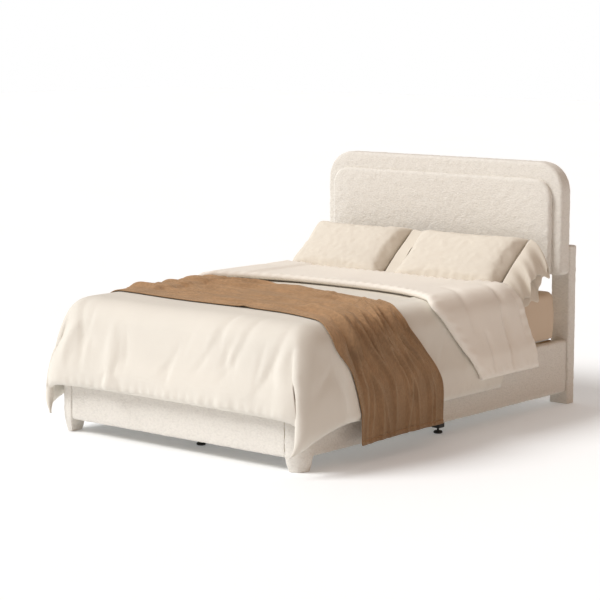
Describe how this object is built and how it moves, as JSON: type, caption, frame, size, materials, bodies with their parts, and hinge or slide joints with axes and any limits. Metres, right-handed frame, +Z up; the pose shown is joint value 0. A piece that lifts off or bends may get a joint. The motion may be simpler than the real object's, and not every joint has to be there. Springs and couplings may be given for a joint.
{
  "type": "upholstered headboard bed",
  "caption": "Full-size bed with a padded, round-cornered headboard, fabric-wrapped rails and legs, slatted base, mattress, duvet, throw and leaning pillows.",
  "frame": {"origin": "on the floor, under the centre of the whole bed's bounding box (duvet overhang included)", "axes": "+X to the right seen from the foot end, +Y along the bed towards the head and headboard, +Z up"},
  "size_m": [1.5976, 2.1614, 1.185],
  "materials": {
    "boucle_fabric": "cream boucle upholstery, looped pile, matt",
    "foam": "upholstery foam, matt (hidden)",
    "plywood": "raw plywood",
    "hardwood": "raw sawn timber",
    "slat_wood": "planed poplar",
    "backing_cloth": "black non-woven dust cloth",
    "black_wood": "black-painted timber",
    "zinc_steel": "zinc plated",
    "black_plastic": "moulded, matt",
    "mattress_ticking": "quilted knit ticking",
    "sheet_cotton": "tan cotton sateen",
    "duvet_cotton": "cream washed cotton, beige reverse",
    "pillow_cotton": "beige cotton sateen",
    "throw_wool": "caramel brown soft knit"
  },
  "bodies": {
    "bed_frame": {"headboard_board": "plywood", "headboard_foam": "foam", "headboard_cover": "boucle_fabric", "headboard_back_cloth": "backing_cloth", "headboard_pad_foam": "foam", "headboard_pad_cover": "boucle_fabric", "post_core_left": "hardwood", "post_core_right": "hardwood", "post_cover_left": "boucle_fabric", "post_cover_right": "boucle_fabric", "footboard_board": "plywood", "footboard_foam": "foam", "footboard_cover": "boucle_fabric", "front_leg_block_left": "hardwood", "front_leg_block_right": "hardwood", "front_leg_cover_left": "boucle_fabric", "front_leg_cover_right": "boucle_fabric", "side_rail_board_left": "plywood", "side_rail_board_right": "plywood", "side_rail_cover_left": "boucle_fabric", "side_rail_cover_right": "boucle_fabric", "corner_bracket_front_left": "zinc_steel", "corner_bracket_front_right": "zinc_steel", "corner_bracket_rear_left": "zinc_steel", "corner_bracket_rear_right": "zinc_steel", "corner_bolt_front_left": "zinc_steel", "corner_bolt_front_right": "zinc_steel", "corner_bolt_rear_left": "zinc_steel", "corner_bolt_rear_right": "zinc_steel", "slat_ledger_left": "hardwood", "slat_ledger_right": "hardwood", "centre_beam": "hardwood", "head_rail": "hardwood", "support_leg_foot": "black_wood", "support_leg_middle": "black_wood", "support_leg_head": "black_wood", "support_leg_left": "black_wood", "support_leg_right": "black_wood", "slat_1": "slat_wood", "slat_2": "slat_wood", "slat_3": "slat_wood", "slat_4": "slat_wood", "slat_5": "slat_wood", "slat_6": "slat_wood", "slat_7": "slat_wood", "slat_8": "slat_wood", "slat_9": "slat_wood"},
    "levelling_foot_foot": {"levelling_foot_foot": "black_plastic"},
    "levelling_foot_middle": {"levelling_foot_middle": "black_plastic"},
    "levelling_foot_head": {"levelling_foot_head": "black_plastic"},
    "levelling_foot_left": {"levelling_foot_left": "black_plastic"},
    "levelling_foot_right": {"levelling_foot_right": "black_plastic"},
    "mattress": {"mattress": "mattress_ticking", "fitted_sheet": "sheet_cotton"},
    "duvet": {"duvet": "duvet_cotton"},
    "throw_blanket": {"throw_blanket": "throw_wool"},
    "lower_pillow_left": {"lower_pillow_left": "pillow_cotton"},
    "lower_pillow_right": {"lower_pillow_right": "pillow_cotton"},
    "upper_pillow_left": {"upper_pillow_left": "pillow_cotton"},
    "upper_pillow_right": {"upper_pillow_right": "pillow_cotton"}
  },
  "joints": [
    {"name": "levelling_foot_foot_screw", "type": "slide", "parent": "bed_frame", "child": "levelling_foot_foot", "axis": [0, 0, 1], "range_m": [0, 0.012]},
    {"name": "levelling_foot_middle_screw", "type": "slide", "parent": "bed_frame", "child": "levelling_foot_middle", "axis": [0, 0, 1], "range_m": [0, 0.012]},
    {"name": "levelling_foot_head_screw", "type": "slide", "parent": "bed_frame", "child": "levelling_foot_head", "axis": [0, 0, 1], "range_m": [0, 0.012]},
    {"name": "levelling_foot_left_screw", "type": "slide", "parent": "bed_frame", "child": "levelling_foot_left", "axis": [0, 0, 1], "range_m": [0, 0.012]},
    {"name": "levelling_foot_right_screw", "type": "slide", "parent": "bed_frame", "child": "levelling_foot_right", "axis": [0, 0, 1], "range_m": [0, 0.012]},
    {"name": "mattress_lift", "type": "slide", "parent": "bed_frame", "child": "mattress", "axis": [0, -0.6, 0.8], "range_m": [0, 0.4]},
    {"name": "duvet_lift", "type": "slide", "parent": "mattress", "child": "duvet", "axis": [0, 0, 1], "range_m": [0, 0.45]},
    {"name": "throw_lift", "type": "slide", "parent": "duvet", "child": "throw_blanket", "axis": [0, 0, 1], "range_m": [0, 0.35]},
    {"name": "lower_pillow_left_lift", "type": "slide", "parent": "mattress", "child": "lower_pillow_left", "axis": [0, 0, 1], "range_m": [0, 0.3]},
    {"name": "upper_pillow_left_lift", "type": "slide", "parent": "lower_pillow_left", "child": "upper_pillow_left", "axis": [0, 0, 1], "range_m": [0, 0.3]},
    {"name": "lower_pillow_right_lift", "type": "slide", "parent": "mattress", "child": "lower_pillow_right", "axis": [0, 0, 1], "range_m": [0, 0.3]},
    {"name": "upper_pillow_right_lift", "type": "slide", "parent": "lower_pillow_right", "child": "upper_pillow_right", "axis": [0, 0, 1], "range_m": [0, 0.3]}
  ]
}
